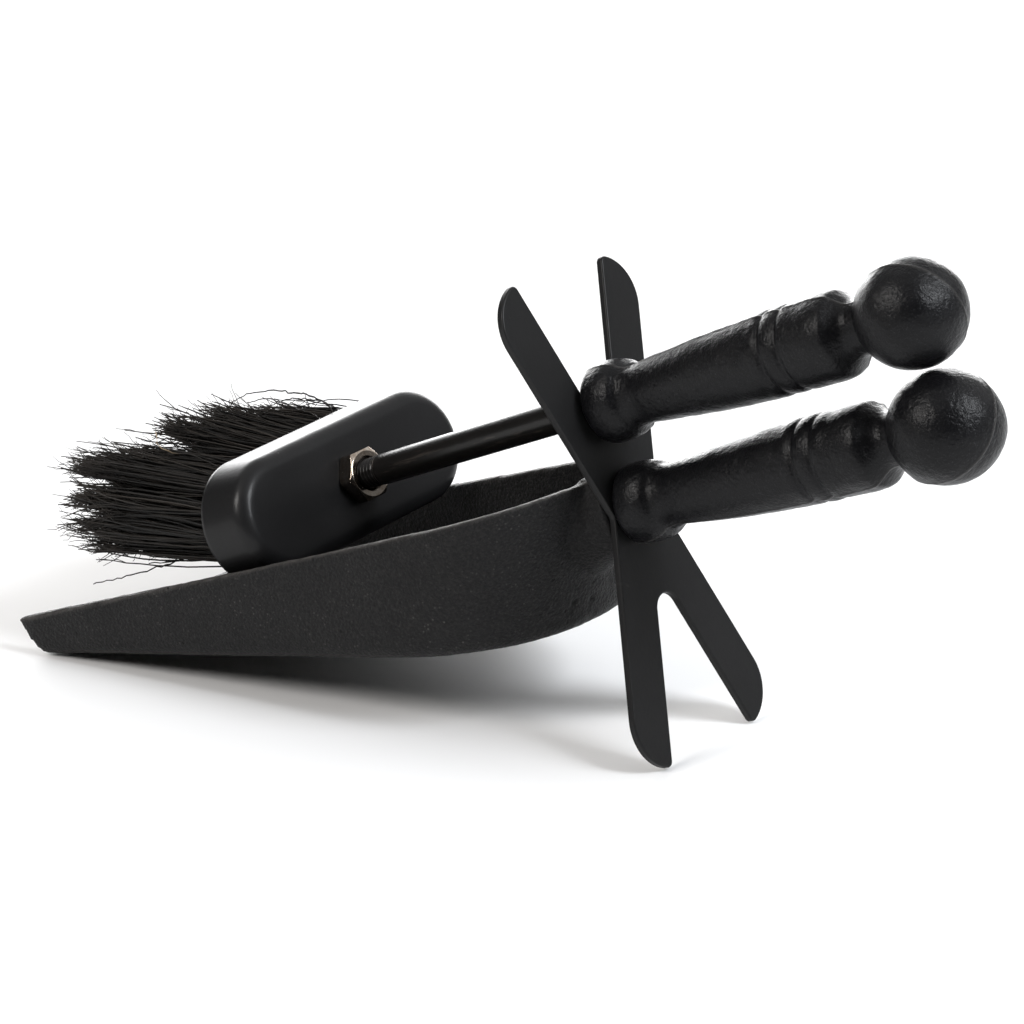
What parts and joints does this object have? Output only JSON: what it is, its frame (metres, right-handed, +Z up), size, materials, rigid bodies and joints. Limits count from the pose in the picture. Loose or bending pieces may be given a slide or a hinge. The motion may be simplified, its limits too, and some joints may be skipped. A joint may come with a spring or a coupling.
{
  "type": "hearth tidy set",
  "caption": "Hearth tidy: a cast ash pan with a ball-ended handle, and a matching hearth brush whose rod rests in the upper notch of an X-shaped stand plate.",
  "frame": {"origin": "bottom centre of the bounding box: the floor under the middle of the set as it stands on the pan's lip and the plate's two feet", "axes": "+X from the pan's lip towards the handles, +Y across the pan, +Z up from the floor"},
  "size_m": [0.3332, 0.1342, 0.1606],
  "materials": {
    "pan_iron": "satin",
    "handle_iron": "satin",
    "plate_paint": "matte",
    "rod_paint": "satin",
    "cap_paint": "satin",
    "bright_nut": "polished",
    "plain_steel": "satin",
    "core_wood": "matte",
    "bristle_fibre": "matte"
  },
  "bodies": {
    "shovel": {"shovel_pan": "pan_iron", "stand_plate": "plate_paint", "shovel_stud": "plain_steel", "shovel_handle": "handle_iron"},
    "brush": {"brush_handle": "handle_iron", "brush_shaft": "rod_paint", "brush_locknut": "bright_nut", "brush_ferrule": "cap_paint", "brush_inner_washer": "plain_steel", "brush_inner_nut": "plain_steel", "brush_core": "core_wood", "bristle_row_1": "bristle_fibre", "bristle_row_2": "bristle_fibre", "bristle_row_3": "bristle_fibre", "bristle_row_4": "bristle_fibre"}
  },
  "joints": [
    {"name": "brush_lift", "type": "slide", "parent": "shovel", "child": "brush", "axis": [-0.3707, 0, 0.9287], "range_m": [0, 0.12]}
  ]
}
